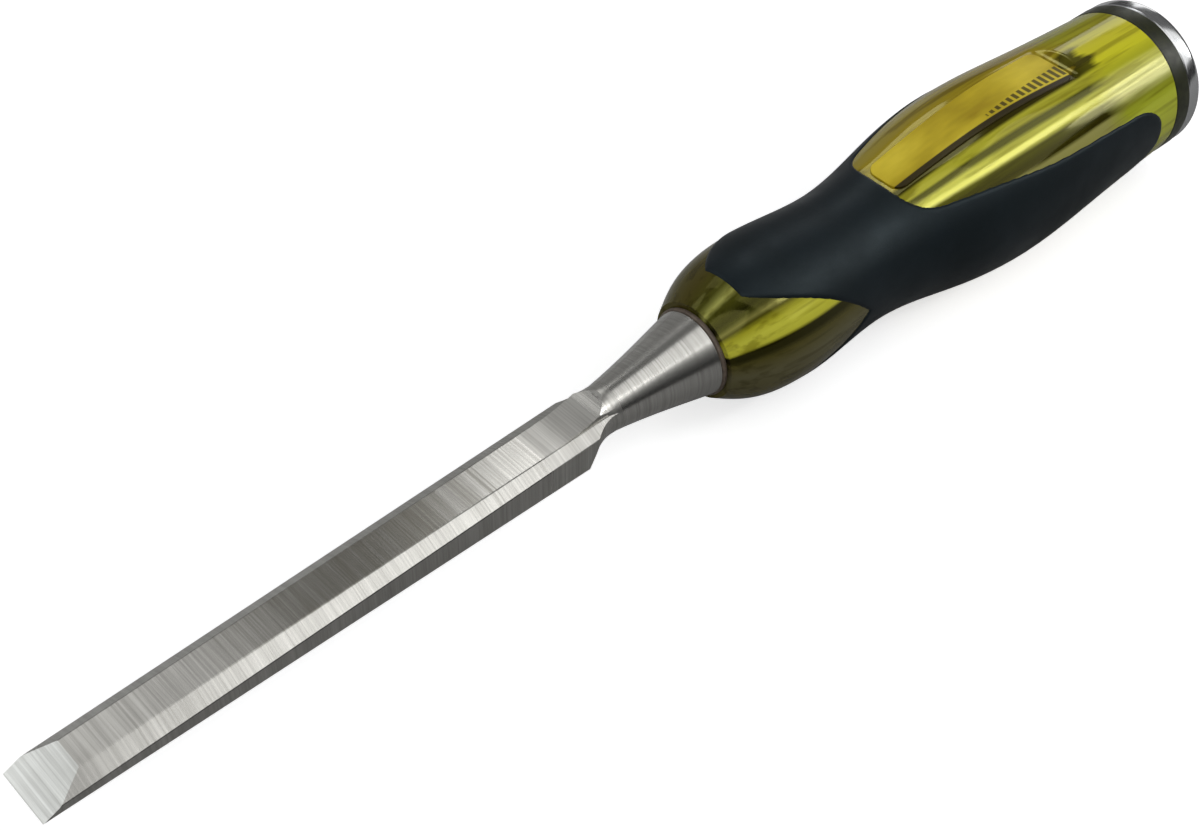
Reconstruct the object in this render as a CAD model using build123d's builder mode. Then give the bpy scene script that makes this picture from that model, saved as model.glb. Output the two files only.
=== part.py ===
"""Bench chisel: bevel-edge blade with a through tang, acetate handle, soft grip and steel strike cap.

Lengths are in millimetres. +X runs along the tool from the cutting edge to the strike cap,
+Z is up on the bevelled face, and the origin is under the middle of the tool at the lowest point
of the handle. Stations are distances along the tool, measured from the cutting edge.
"""
import os
from math import radians, tan

from build123d import *

os.makedirs("parts", exist_ok=True)

# ---- driving dimensions -------------------------------------------------------------------------
BLADE_WIDTH = 12.0          # nominal size of the chisel
SHOULDER_STATION = 110.0    # end of the flat blade
BLADE_BACK_TO_AXIS = 5.3    # handle axis above the flat back
BEVEL_ANGLE = 23.5          # cutting bevel
EDGE_LAND = 0.05            # thickness left at the cutting edge

TIP_THICKNESS = 3.5         # blade thickness at the tip, before the cutting bevel is ground
SHOULDER_THICKNESS = 7.3
TIP_SIDE_HEIGHT = 1.4       # height of the square side below the side bevel
SHOULDER_SIDE_HEIGHT = 6.0
TIP_BEVEL_RUN = 2.9         # width of the side bevel seen from above
SHOULDER_BEVEL_RUN = 2.3

SHOULDER_FRONT = 109.2      # turned hollow between the square blade and the round neck
SHOULDER_MIDDLE = (112.2, 5.6)
NECK_STATION = 116.5
NECK_RADIUS = 4.65
RAMP_FRONT = 104.5          # the top of the blade sweeps up here into the round neck
RAMP_REAR = 116.8
RAMP_RISE = 0.1             # end of the sweep above the neck
CONE_FRONT = 115.6          # rounded front of the cone, hidden in the sweep
CONE_FRONT_END = 119.0
CONE_FRONT_RADIUS = 4.85
CONE_FRONT_SLOPE = 0.14
CONE_REAR_SLOPE = 0.2
BOLSTER_STATION = 139.0     # rear face of the bolster
BOLSTER_RADIUS = 8.6
BOLSTER_RIM = 1.2           # rim at the big end of the cone
BOLSTER_RIM_DRAFT = 0.05

TANG_SIDE = 7.0             # square part of the tang
TANG_CORNER = 0.8
TENON_RADIUS = 3.2          # round end of the tang, riveted in the cap
TENON_CHAMFER = 0.4
TANG_CLEARANCE = 0.1

BOLSTER_WASHER_THICKNESS = 1.0
BOLSTER_WASHER_RADIUS = 8.9
BOLSTER_WASHER_ROUND = 0.3

BUTT_STATION = 263.6        # rear face of the acetate
BUTT_RADIUS = 16.5
CAP_WASHER_THICKNESS = 4.4
CAP_WASHER_OVERHANG = 0.1   # washer radius beyond the acetate
CAP_WASHER_ROUND = 0.35
CAP_THICKNESS = 4.2         # strike cap at its rim
CAP_CROWN = 0.8             # extra height of the crowned face
CAP_CROWN_SHARE = 0.75      # part of the crown reached half way in from the rim
CAP_RIM_SLOPE = 0.13
CAP_LAND_RADIUS = 5.5       # flat struck land around the tang end
CAP_RIM_ROUND = 1.6
CAP_FRONT_CHAMFER = 0.4

GRIP_THICKNESS = 2.2
GRIP_PROUD = 0.3            # grip stands above the acetate in the windows
GRIP_FRONT = 146.3
GRIP_FRONT_RADIUS = 13.4
GRIP_REAR = 258.4
GRIP_REAR_RADIUS = 17.1

NOTCH_HALF_HEIGHT = 12.5    # pointed notches on both sides of the nose
NOTCH_MIDDLE = (160.0, 8.8)
NOTCH_TIP = 172.0
WINDOW_FRONT = 187.2        # rounded front ends of the windows on the top and bottom
WINDOW_NOSE_STATION = 190.6
WINDOW_NOSE_HALF = 8.9
WINDOW_NOSE_SLOPE = 0.2
HANDOVER_STATION = 198.0    # where the window edge turns from the top face to the side
HANDOVER_HALF = 11.55
STRIP_FRONT_SLOPE = 0.08

FACET_DEPTH = 1.2           # flat worked on the top and bottom of the acetate
FACET_FRONT = 183.0
FACET_REAR = 244.0
FACET_RUN_IN = 15.0         # height above the axis where the flats leave the skin
RUN_OUT_MIDDLE = (242.5, 17.1)
RUN_OUT_HEIGHT = 18.6
LABEL_THICKNESS = 0.4
LABEL_FRONT_HALF_WIDTH = 4.3
LABEL_REAR_HALF_WIDTH = 5.7
LABEL_CORNER = 2.2
LABEL_FRONT = 188.6
LABEL_REAR = 239.2

# radius of the acetate handle at stations along the tool: nose, bulb, waist, belly and butt
CORE_PROFILE = [
    (145.2, 12.8),
    (151.0, 14.5),
    (158.5, 15.0),
    (167.0, 14.4),
    (179.0, 13.65),
    (190.0, 14.85),
    (202.0, 17.2),
    (218.0, 18.8),
    (240.0, 17.8),
]
NOSE_RADIUS = 9.9

# upper edge of the side strips of the grip: station and height above the axis
STRIP_PROFILE = [
    (207.4, 11.6),
    (222.0, 10.4),
    (237.0, 9.0),
    (248.0, 7.9),
    (255.2, 5.2),
]

# height above the axis of the flats on the top and bottom of the acetate
FLAT_PROFILE = [
    (187.0, 14.5 - FACET_DEPTH),
    (202.0, 17.2 - FACET_DEPTH),
    (218.0, 18.8 - FACET_DEPTH),
    (239.5, 17.85 - FACET_DEPTH),
]

# ---- worked out from the driving dimensions -------------------------------------------------------
NOSE_STATION = BOLSTER_STATION + BOLSTER_WASHER_THICKNESS
CAP_STATION = BUTT_STATION + CAP_WASHER_THICKNESS
CAP_FACE = CAP_STATION + CAP_THICKNESS
OVERALL = CAP_FACE + CAP_CROWN
CROWN_MIDDLE_RADIUS = (BUTT_RADIUS - CAP_RIM_ROUND + CAP_LAND_RADIUS) / 2
INLAY_SKIN = Spline(*[(station, height + LABEL_THICKNESS) for station, height in FLAT_PROFILE])
AXIS_Z = INLAY_SKIN.bounding_box().max.Y    # the bottom inlay is the lowest point of the tool
TIP_X = -OVERALL / 2
BACK_Z = AXIS_Z - BLADE_BACK_TO_AXIS
REACH = 2 * BUTT_RADIUS                      # cuts run past the handle by this much
CUT_MARGIN = 1.0
HANDLE_AXIS = Axis((0, 0, AXIS_Z), (1, 0, 0))
SKETCH_AXIS = Plane(origin=(0, AXIS_Z, 0), z_dir=(0, 1, 0))     # handle axis inside an XZ sketch


def at(station, radius):
    """Point above the handle axis on the XZ plane."""
    return (TIP_X + station, AXIS_Z + radius)


def over(station, y):
    """Point on a plan view."""
    return (TIP_X + station, y)


def profile_points(offset, first=0, last=None):
    """Points of the handle profile with the radius changed by an offset."""
    return [at(station, radius + offset) for station, radius in CORE_PROFILE[first:last]]


# ---- blade: one forging from the cutting edge to the riveted tang --------------------------------
BLADE_END = CONE_FRONT_END + CUT_MARGIN / 2   # the flat blade runs on inside the neck
TAPER = BLADE_END / SHOULDER_STATION
TOP_SLOPE = (SHOULDER_THICKNESS - TIP_THICKNESS) / SHOULDER_STATION
END_THICKNESS = TIP_THICKNESS + (SHOULDER_THICKNESS - TIP_THICKNESS) * TAPER
END_SIDE = TIP_SIDE_HEIGHT + (SHOULDER_SIDE_HEIGHT - TIP_SIDE_HEIGHT) * TAPER
END_RUN = TIP_BEVEL_RUN + (SHOULDER_BEVEL_RUN - TIP_BEVEL_RUN) * TAPER
HALF = BLADE_WIDTH / 2
CORNER_RADIUS = (HALF**2 + BLADE_BACK_TO_AXIS**2) ** 0.5
BEVEL_CUT_HEIGHT = 1.5 * TIP_THICKNESS
BEVEL_CUT_LENGTH = BEVEL_CUT_HEIGHT / tan(radians(BEVEL_ANGLE))
TIP_PLANE = Plane(origin=(TIP_X, 0, BACK_Z), x_dir=(0, 1, 0), z_dir=(1, 0, 0))

with BuildPart() as blade:
    with BuildSketch(TIP_PLANE) as tip_section:
        with BuildLine():
            Polyline(
                (-HALF, 0),
                (HALF, 0),
                (HALF, TIP_SIDE_HEIGHT),
                (HALF - TIP_BEVEL_RUN, TIP_THICKNESS),
                (TIP_BEVEL_RUN - HALF, TIP_THICKNESS),
                (-HALF, TIP_SIDE_HEIGHT),
                close=True,
            )
        make_face()
    with BuildSketch(TIP_PLANE.offset(BLADE_END)) as end_section:
        with BuildLine():
            Polyline(
                (-HALF, 0),
                (HALF, 0),
                (HALF, END_SIDE),
                (HALF - END_RUN, END_THICKNESS),
                (END_RUN - HALF, END_THICKNESS),
                (-HALF, END_SIDE),
                close=True,
            )
        make_face()
    loft(ruled=True)

    # cutting bevel
    with BuildSketch(Plane.XZ):
        with BuildLine():
            Polyline(
                (TIP_X - CUT_MARGIN, BACK_Z + EDGE_LAND),
                (TIP_X, BACK_Z + EDGE_LAND),
                (TIP_X + BEVEL_CUT_LENGTH, BACK_Z + EDGE_LAND + BEVEL_CUT_HEIGHT),
                (TIP_X - CUT_MARGIN, BACK_Z + EDGE_LAND + BEVEL_CUT_HEIGHT),
                close=True,
            )
        make_face()
    extrude(amount=BLADE_WIDTH, both=True, mode=Mode.SUBTRACT)

    # sweep from the top face up to the neck
    ramp_start = (TIP_X + RAMP_FRONT, BACK_Z + TIP_THICKNESS + TOP_SLOPE * RAMP_FRONT)
    with BuildSketch(Plane.XZ):
        with BuildLine():
            sweep_up = TangentArc(
                ramp_start,
                at(RAMP_REAR, NECK_RADIUS + RAMP_RISE),
                tangent=(1, TOP_SLOPE),
            )
            Polyline(
                sweep_up @ 1,
                at(BLADE_END, NECK_RADIUS + RAMP_RISE),
                at(BLADE_END, 0),
                at(RAMP_FRONT, 0),
                sweep_up @ 0,
            )
        make_face()
    extrude(amount=HALF - SHOULDER_BEVEL_RUN, both=True)

    # turned shoulder: everything outside a concave surface of revolution is taken away
    with BuildSketch(Plane.XZ):
        with BuildLine():
            shoulder_arc = ThreePointArc(
                at(SHOULDER_FRONT, CORNER_RADIUS),
                at(SHOULDER_MIDDLE[0], SHOULDER_MIDDLE[1]),
                at(NECK_STATION, NECK_RADIUS),
            )
            Polyline(
                shoulder_arc @ 1,
                at(BLADE_END + CUT_MARGIN, NECK_RADIUS),
                at(BLADE_END + CUT_MARGIN, 2 * CORNER_RADIUS),
                at(SHOULDER_FRONT, 2 * CORNER_RADIUS),
                shoulder_arc @ 0,
            )
        make_face()
    revolve(axis=HANDLE_AXIS, mode=Mode.SUBTRACT)

    # cone and bolster
    with BuildSketch(Plane.XZ):
        with BuildLine():
            EllipticalCenterArc(
                at(CONE_FRONT_END, 0),
                CONE_FRONT_END - CONE_FRONT,
                CONE_FRONT_RADIUS,
                start_angle=90,
                arc_size=90,
            )
            cone = Spline(
                at(CONE_FRONT_END, CONE_FRONT_RADIUS),
                at(BOLSTER_STATION - BOLSTER_RIM, BOLSTER_RADIUS - BOLSTER_RIM_DRAFT),
                tangents=((1, CONE_FRONT_SLOPE), (1, CONE_REAR_SLOPE)),
            )
            Polyline(
                cone @ 1,
                at(BOLSTER_STATION - BOLSTER_RIM / 2, BOLSTER_RADIUS),
                at(BOLSTER_STATION, BOLSTER_RADIUS),
                at(BOLSTER_STATION, 0),
                at(CONE_FRONT, 0),
            )
        make_face()
    revolve(axis=HANDLE_AXIS)

    # square tang and its round tenon
    tang_plane = Plane(origin=(TIP_X + BOLSTER_STATION, 0, AXIS_Z), x_dir=(0, 1, 0), z_dir=(1, 0, 0))
    with BuildSketch(tang_plane):
        RectangleRounded(TANG_SIDE, TANG_SIDE, TANG_CORNER)
    extrude(amount=BUTT_STATION - BOLSTER_STATION)
    with BuildSketch(tang_plane.offset(BUTT_STATION - BOLSTER_STATION)):
        Circle(TENON_RADIUS)
    extrude(amount=OVERALL - BUTT_STATION)
    chamfer(blade.faces().sort_by(Axis.X)[-1].edges(), length=TENON_CHAMFER)
blade.part.label = "blade"

# ---- washer between bolster and handle -------------------------------------------------------------
with BuildPart() as bolster_washer:
    with BuildSketch(tang_plane):
        Circle(BOLSTER_WASHER_RADIUS)
        RectangleRounded(
            TANG_SIDE + 2 * TANG_CLEARANCE,
            TANG_SIDE + 2 * TANG_CLEARANCE,
            TANG_CORNER,
            mode=Mode.SUBTRACT,
        )
    extrude(amount=BOLSTER_WASHER_THICKNESS)
    rims = bolster_washer.edges().filter_by(GeomType.CIRCLE).sort_by(SortBy.RADIUS)[-2:]
    fillet(rims, radius=BOLSTER_WASHER_ROUND)
bolster_washer.part.label = "bolster_washer"

# ---- soft grip moulded over the handle -------------------------------------------------------------
with BuildPart() as soft_grip:
    with BuildSketch(Plane.XZ):
        with BuildLine():
            outer = Spline(
                at(GRIP_FRONT, GRIP_FRONT_RADIUS),
                *profile_points(GRIP_PROUD, first=1),
                at(GRIP_REAR, GRIP_REAR_RADIUS),
            )
            inner = Spline(
                at(GRIP_FRONT, GRIP_FRONT_RADIUS - GRIP_THICKNESS),
                *profile_points(GRIP_PROUD - GRIP_THICKNESS, first=1),
                at(GRIP_REAR, GRIP_REAR_RADIUS - GRIP_THICKNESS),
            )
            Line(outer @ 0, inner @ 0)
            Line(outer @ 1, inner @ 1)
        make_face()
    revolve(axis=HANDLE_AXIS)

    # pointed notches on both sides of the nose
    with BuildSketch(Plane.XZ):
        with BuildLine():
            upper = ThreePointArc(
                at(GRIP_FRONT - CUT_MARGIN, NOTCH_HALF_HEIGHT),
                at(NOTCH_MIDDLE[0], NOTCH_MIDDLE[1]),
                at(NOTCH_TIP, 0),
            )
            lower = ThreePointArc(
                at(GRIP_FRONT - CUT_MARGIN, -NOTCH_HALF_HEIGHT),
                at(NOTCH_MIDDLE[0], -NOTCH_MIDDLE[1]),
                at(NOTCH_TIP, 0),
            )
            Line(upper @ 0, lower @ 0)
        make_face()
    extrude(amount=REACH, both=True, mode=Mode.SUBTRACT)

    # rounded front ends of the top and bottom windows
    with BuildSketch():
        with BuildLine():
            window_nose = Spline(
                over(HANDOVER_STATION, -HANDOVER_HALF),
                over(WINDOW_NOSE_STATION, -WINDOW_NOSE_HALF),
                over(WINDOW_FRONT, 0),
                over(WINDOW_NOSE_STATION, WINDOW_NOSE_HALF),
                over(HANDOVER_STATION, HANDOVER_HALF),
                tangents=((-1, WINDOW_NOSE_SLOPE), (1, WINDOW_NOSE_SLOPE)),
            )
            Line(window_nose @ 0, window_nose @ 1)
        make_face()
    extrude(amount=2 * REACH, both=True, mode=Mode.SUBTRACT)

    # long sides of the windows, up to the rounded rear corners of the side strips
    with BuildSketch(Plane.XZ):
        with BuildLine():
            side_edge = Spline(
                at(HANDOVER_STATION, HANDOVER_HALF),
                *[at(station, height) for station, height in STRIP_PROFILE],
                at(GRIP_REAR, 0),
                tangents=((1, STRIP_FRONT_SLOPE), (0, -1)),
            )
            Polyline(
                side_edge @ 1,
                at(BUTT_STATION, 0),
                at(BUTT_STATION, REACH),
                at(HANDOVER_STATION, REACH),
                side_edge @ 0,
            )
        make_face()
        mirror(about=SKETCH_AXIS)
    extrude(amount=REACH, both=True, mode=Mode.SUBTRACT)
soft_grip.part.label = "soft_grip"

# ---- acetate handle --------------------------------------------------------------------------------
with BuildPart() as handle_core:
    with BuildSketch(Plane.XZ):
        with BuildLine():
            skin = Spline(
                at(NOSE_STATION, NOSE_RADIUS),
                *profile_points(0),
                at(BUTT_STATION, BUTT_RADIUS),
            )
            Polyline(
                skin @ 1,
                at(BUTT_STATION, 0),
                at(NOSE_STATION, 0),
                skin @ 0,
            )
        make_face()
    revolve(axis=HANDLE_AXIS)
    with BuildSketch(tang_plane):
        RectangleRounded(
            TANG_SIDE + 2 * TANG_CLEARANCE,
            TANG_SIDE + 2 * TANG_CLEARANCE,
            TANG_CORNER,
        )
    extrude(amount=BUTT_STATION - BOLSTER_STATION, mode=Mode.SUBTRACT)
    add(soft_grip.part, mode=Mode.SUBTRACT)

    # flats that carry the inlays
    with BuildSketch(Plane.XZ):
        with BuildLine():
            flat = Spline(*[at(station, height) for station, height in FLAT_PROFILE])
            run_in = Line(flat @ 0, at(FACET_FRONT, FACET_RUN_IN))
            run_out = ThreePointArc(
                flat @ 1,
                at(RUN_OUT_MIDDLE[0], RUN_OUT_MIDDLE[1]),
                at(FACET_REAR, RUN_OUT_HEIGHT),
            )
            Polyline(
                run_in @ 1,
                at(FACET_FRONT, REACH),
                at(FACET_REAR, REACH),
                run_out @ 1,
            )
        make_face()
        mirror(about=SKETCH_AXIS)
    extrude(amount=REACH, both=True, mode=Mode.SUBTRACT)
handle_core.part.label = "handle_core"

# ---- inlays on the flats ---------------------------------------------------------------------------
with BuildPart() as top_label:
    with BuildSketch(Plane.XZ):
        with BuildLine():
            under = Spline(*[at(station, height) for station, height in FLAT_PROFILE])
            top = Spline(*[at(station, height + LABEL_THICKNESS) for station, height in FLAT_PROFILE])
            Line(under @ 0, top @ 0)
            Line(under @ 1, top @ 1)
        make_face()
    extrude(amount=LABEL_REAR_HALF_WIDTH, both=True)
    with BuildSketch(Plane.XY.offset(AXIS_Z)) as label_outline:
        with BuildLine():
            Polyline(
                over(LABEL_FRONT, -LABEL_FRONT_HALF_WIDTH),
                over(LABEL_REAR, -LABEL_REAR_HALF_WIDTH),
                over(LABEL_REAR, LABEL_REAR_HALF_WIDTH),
                over(LABEL_FRONT, LABEL_FRONT_HALF_WIDTH),
                close=True,
            )
        make_face()
        fillet(label_outline.vertices(), radius=LABEL_CORNER)
    extrude(amount=REACH, mode=Mode.INTERSECT)
top_label.part.label = "top_label"

with BuildPart() as bottom_label:
    add(top_label.part)
    mirror(about=Plane(origin=(0, 0, AXIS_Z), z_dir=(0, 0, 1)), mode=Mode.REPLACE)
bottom_label.part.label = "bottom_label"

# ---- cap washer ------------------------------------------------------------------------------------
butt_plane = tang_plane.offset(BUTT_STATION - BOLSTER_STATION)
with BuildPart() as cap_washer:
    with BuildSketch(butt_plane):
        Circle(BUTT_RADIUS + CAP_WASHER_OVERHANG)
        Circle(TENON_RADIUS + TANG_CLEARANCE, mode=Mode.SUBTRACT)
    extrude(amount=CAP_WASHER_THICKNESS)
    rims = cap_washer.edges().filter_by(GeomType.CIRCLE).sort_by(SortBy.RADIUS)[-2:]
    fillet(rims, radius=CAP_WASHER_ROUND)
cap_washer.part.label = "cap_washer"

# ---- strike cap ------------------------------------------------------------------------------------
with BuildPart() as strike_cap:
    with BuildSketch(Plane.XZ):
        with BuildLine():
            rim = RadiusArc(
                at(CAP_FACE - CAP_RIM_ROUND, BUTT_RADIUS),
                at(CAP_FACE, BUTT_RADIUS - CAP_RIM_ROUND),
                CAP_RIM_ROUND,
            )
            crown = Spline(
                rim @ 1,
                at(CAP_FACE + CAP_CROWN * CAP_CROWN_SHARE, CROWN_MIDDLE_RADIUS),
                at(OVERALL, CAP_LAND_RADIUS),
                tangents=((CAP_RIM_SLOPE, -1), (0, -1)),
            )
            Polyline(
                crown @ 1,
                at(OVERALL, TENON_RADIUS + TANG_CLEARANCE / 2),
                at(CAP_STATION, TENON_RADIUS + TANG_CLEARANCE / 2),
                at(CAP_STATION, BUTT_RADIUS),
                rim @ 0,
            )
        make_face()
    revolve(axis=HANDLE_AXIS)
    front_edges = strike_cap.edges().filter_by(GeomType.CIRCLE).group_by(Axis.X)[0]
    front_rim = front_edges.sort_by(SortBy.RADIUS)[-1]
    chamfer(front_rim, length=CAP_FRONT_CHAMFER)
strike_cap.part.label = "strike_cap"

for piece in (
    blade,
    bolster_washer,
    handle_core,
    soft_grip,
    top_label,
    bottom_label,
    cap_washer,
    strike_cap,
):
    export_step(piece.part, f"parts/{piece.part.label}.step")
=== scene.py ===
"""Looks of the bench chisel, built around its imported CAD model.

Stations are distances from the cutting edge along the tool, in mm. Sizes in capitals are in mm as
well, unless a comment says otherwise; nodes, lights and the camera are in metres.
"""
import math

import bmesh
import bpy
import numpy as np
from mathutils import Matrix, Vector


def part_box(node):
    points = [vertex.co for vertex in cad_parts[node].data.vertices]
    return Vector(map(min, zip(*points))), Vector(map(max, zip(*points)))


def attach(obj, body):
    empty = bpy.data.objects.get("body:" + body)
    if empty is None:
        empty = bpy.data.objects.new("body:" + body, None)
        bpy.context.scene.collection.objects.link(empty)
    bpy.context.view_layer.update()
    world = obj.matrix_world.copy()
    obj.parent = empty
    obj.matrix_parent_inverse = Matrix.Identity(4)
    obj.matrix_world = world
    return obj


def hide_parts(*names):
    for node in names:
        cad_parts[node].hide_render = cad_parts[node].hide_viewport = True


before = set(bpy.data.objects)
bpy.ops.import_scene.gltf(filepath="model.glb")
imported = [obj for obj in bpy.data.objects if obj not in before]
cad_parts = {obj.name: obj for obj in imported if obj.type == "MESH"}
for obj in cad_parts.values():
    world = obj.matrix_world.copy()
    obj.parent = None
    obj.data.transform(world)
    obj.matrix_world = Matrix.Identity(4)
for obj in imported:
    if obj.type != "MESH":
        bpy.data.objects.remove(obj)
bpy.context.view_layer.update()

MM = 0.001
BACK_TO_AXIS = 5.3                                  # handle axis above the flat back
blade_lo, blade_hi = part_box("blade")
TIP = blade_lo[0]                                   # cutting edge, in metres
AXIS_Z = (blade_lo[2] + blade_hi[2]) / 2            # handle axis, in metres
BACK_Z = AXIS_Z - BACK_TO_AXIS * MM                 # flat back of the blade, in metres

# ---- sizes the looks share with the CAD model ----------------------------------------------------
BOLSTER = 139.0
HANDLE_FRONT = 140.0
BUTT, BUTT_RADIUS = 263.6, 16.5
CORE = [
    (HANDLE_FRONT, 9.9), (145.2, 12.8), (151.0, 14.5), (158.5, 15.0), (167.0, 14.4), (179.0, 13.65),
    (190.0, 14.85), (202.0, 17.2), (218.0, 18.8), (240.0, 17.8), (BUTT, BUTT_RADIUS),
]
CORE_BORE = 5.1
FLAT = [(187.0, 13.3), (202.0, 16.0), (218.0, 17.6), (239.5, 16.65)]    # worked flats, station and height
FACET_FRONT, FACET_REAR = 183.0, 244.0              # where the flats leave the round skin
FACET_FRONT_HEIGHT = 15.0
FACET_REAR_RISE = 2.2
FACET_SOFT = 0.25                                   # rounding of their edges
GRIP_FRONT, GRIP_REAR = 146.3, 258.4
GRIP_PROUD = 0.27                                   # grip stands above the acetate
GRIP_SINK = 0.3                                     # its rounded edge starts below the acetate
GRIP_DEPTH = 1.75                                   # its inner face, below the acetate
GRIP_ROUND = 0.9                                    # width of its rounded edge
LABEL_FRONT, LABEL_REAR = 188.7, 239.1
LABEL_HALF_FRONT, LABEL_HALF_REAR = 4.25, 5.65
LABEL_CORNER, LABEL_HEIGHT, LABEL_SOFT = 2.2, 0.37, 0.12
LABEL_SPREAD = (LABEL_HALF_REAR - LABEL_HALF_FRONT) / (LABEL_REAR - LABEL_FRONT)


def spline(points):
    """Natural cubic spline through (x, y) points, as a function of arrays."""
    x = np.array([p[0] for p in points], float)
    y = np.array([p[1] for p in points], float)
    n = len(x)
    h = np.diff(x)
    a = np.zeros((n, n))
    b = np.zeros(n)
    a[0, 0] = a[-1, -1] = 1.0
    for i in range(1, n - 1):
        a[i, i - 1], a[i, i], a[i, i + 1] = h[i - 1], 2 * (h[i - 1] + h[i]), h[i]
        b[i] = 6 * ((y[i + 1] - y[i]) / h[i] - (y[i] - y[i - 1]) / h[i - 1])
    m = np.linalg.solve(a, b)

    def at(q):
        q = np.asarray(q, float)
        i = np.clip(np.searchsorted(x, q) - 1, 0, n - 2)
        d = q - x[i]
        slope = (y[i + 1] - y[i]) / h[i] - h[i] * (2 * m[i] + m[i + 1]) / 6
        return y[i] + slope * d + m[i] / 2 * d**2 + (m[i + 1] - m[i]) / (6 * h[i]) * d**3

    return at


def circle_through(a, b, c):
    """Centre and radius of the circle through three points."""
    (x1, y1), (x2, y2), (x3, y3) = a, b, c
    s1, s2, s3 = x1**2 + y1**2, x2**2 + y2**2, x3**2 + y3**2
    d = 2 * (x1 * (y2 - y3) + x2 * (y3 - y1) + x3 * (y1 - y2))
    ux = (s1 * (y2 - y3) + s2 * (y3 - y1) + s3 * (y1 - y2)) / d
    uy = (s1 * (x3 - x2) + s2 * (x1 - x3) + s3 * (x2 - x1)) / d
    return ux, uy, math.hypot(x1 - ux, y1 - uy)


core_radius = spline(CORE)
flat_height = spline(FLAT)


def placed(station, y, z):
    """World point from a station along the tool, and y and z from the handle axis, all in mm."""
    return (TIP + station * MM, y * MM, AXIS_Z + z * MM)


def on_ring(station, radius, angle):
    """World point on a circle round the handle axis, the angle from the top towards +Y."""
    return placed(station, radius * math.sin(angle), radius * math.cos(angle))


def tube_faces(rings, n, closed=False):
    """Quads between rings of n points that follow each other."""
    faces = []
    for i in range(rings if closed else rings - 1):
        here, beyond = i * n, (i + 1) % rings * n
        for k in range(n):
            after = (k + 1) % n
            faces.append((here + k, here + after, beyond + after, beyond + k))
    return faces


def mesh_object(name, points, faces, material, smooth=30.0):
    """Closed mesh with outward faces, smooth up to an angle in degrees."""
    mesh = bpy.data.meshes.new(name)
    mesh.from_pydata(points, [], faces)
    bm = bmesh.new()
    bm.from_mesh(mesh)
    bmesh.ops.remove_doubles(bm, verts=bm.verts, dist=1e-7)
    bmesh.ops.delete(bm, geom=[e for e in bm.edges if not e.link_faces], context="EDGES")
    bmesh.ops.recalc_face_normals(bm, faces=bm.faces)
    if bm.calc_volume(signed=True) < 0:
        bmesh.ops.reverse_faces(bm, faces=bm.faces)
    bm.to_mesh(mesh)
    bm.free()
    mesh.shade_smooth()
    mesh.set_sharp_from_angle(angle=math.radians(smooth))
    obj = bpy.data.objects.new(name, mesh)
    bpy.context.collection.objects.link(obj)
    mesh.materials.append(material)
    return obj


def lathe(name, profile, material, n=128, smooth=30.0):
    """Turned piece: a closed loop of (station, radius) points swept round the handle axis."""
    points = [on_ring(s, r, 2 * math.pi * k / n) for k in range(n) for s, r in profile]
    return mesh_object(name, points, tube_faces(n, len(profile), closed=True), material, smooth)


def arc(cx, cy, r, start, stop, n=6):
    """Points of an arc, angles in degrees from +station towards +radius."""
    out = []
    for i in range(n + 1):
        t = math.radians(start + (stop - start) * i / n)
        out.append((cx + r * math.cos(t), cy + r * math.sin(t)))
    return out


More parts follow.
